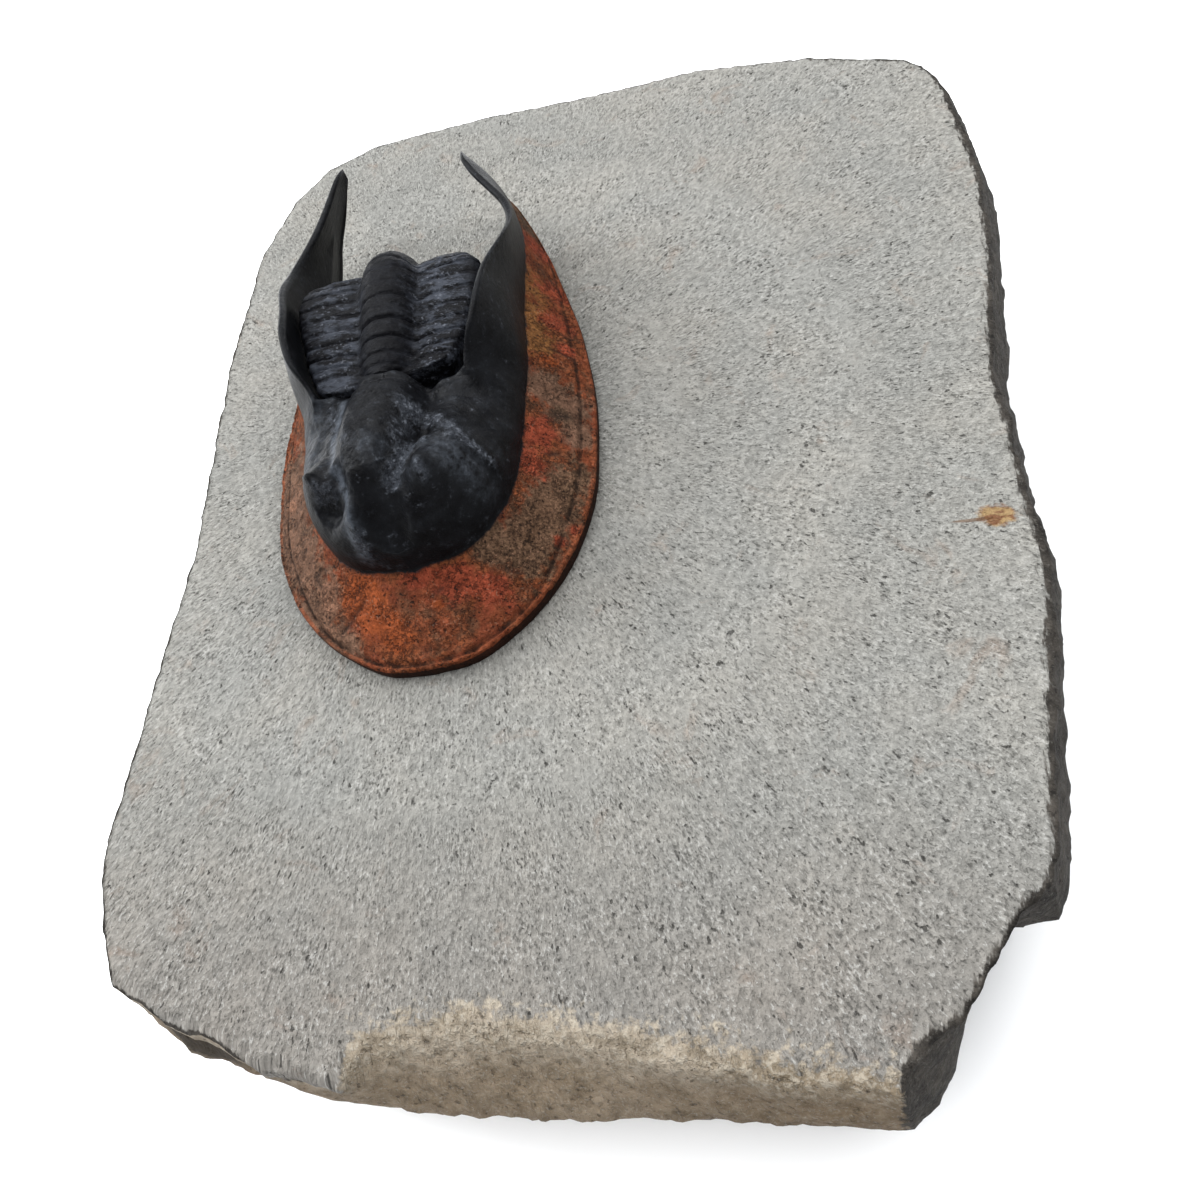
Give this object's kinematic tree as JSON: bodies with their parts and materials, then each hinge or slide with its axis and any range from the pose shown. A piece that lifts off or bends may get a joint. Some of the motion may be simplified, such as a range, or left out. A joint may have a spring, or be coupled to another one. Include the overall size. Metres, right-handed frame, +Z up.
{
  "type": "fossil trilobite",
  "caption": "Horseshoe-brimmed fossil trilobite with long standing horns, prepared free on a flat slab of grey limestone matrix.",
  "frame": {"origin": "centre of the bounding box at the slab's flat underside", "axes": "+Z up out of the slab's top face, +Y along the slab's long way from the trilobite's head towards its tail, +X towards the slab's right side as seen from the head"},
  "size_m": [0.0808, 0.1057, 0.0346],
  "materials": {
    "limestone": "matt, finely chiselled grey limestone with brown weathered and dark broken sides",
    "cephalon_calcite": "satin black calcite head with an iron-red brim",
    "thorax_calcite": "satin black calcite",
    "pygidium_calcite": "satin black calcite"
  },
  "bodies": {
    "root": {"matrix_slab": "limestone", "cephalon": "cephalon_calcite", "thorax": "thorax_calcite", "pygidium": "pygidium_calcite"}
  },
  "joints": []
}
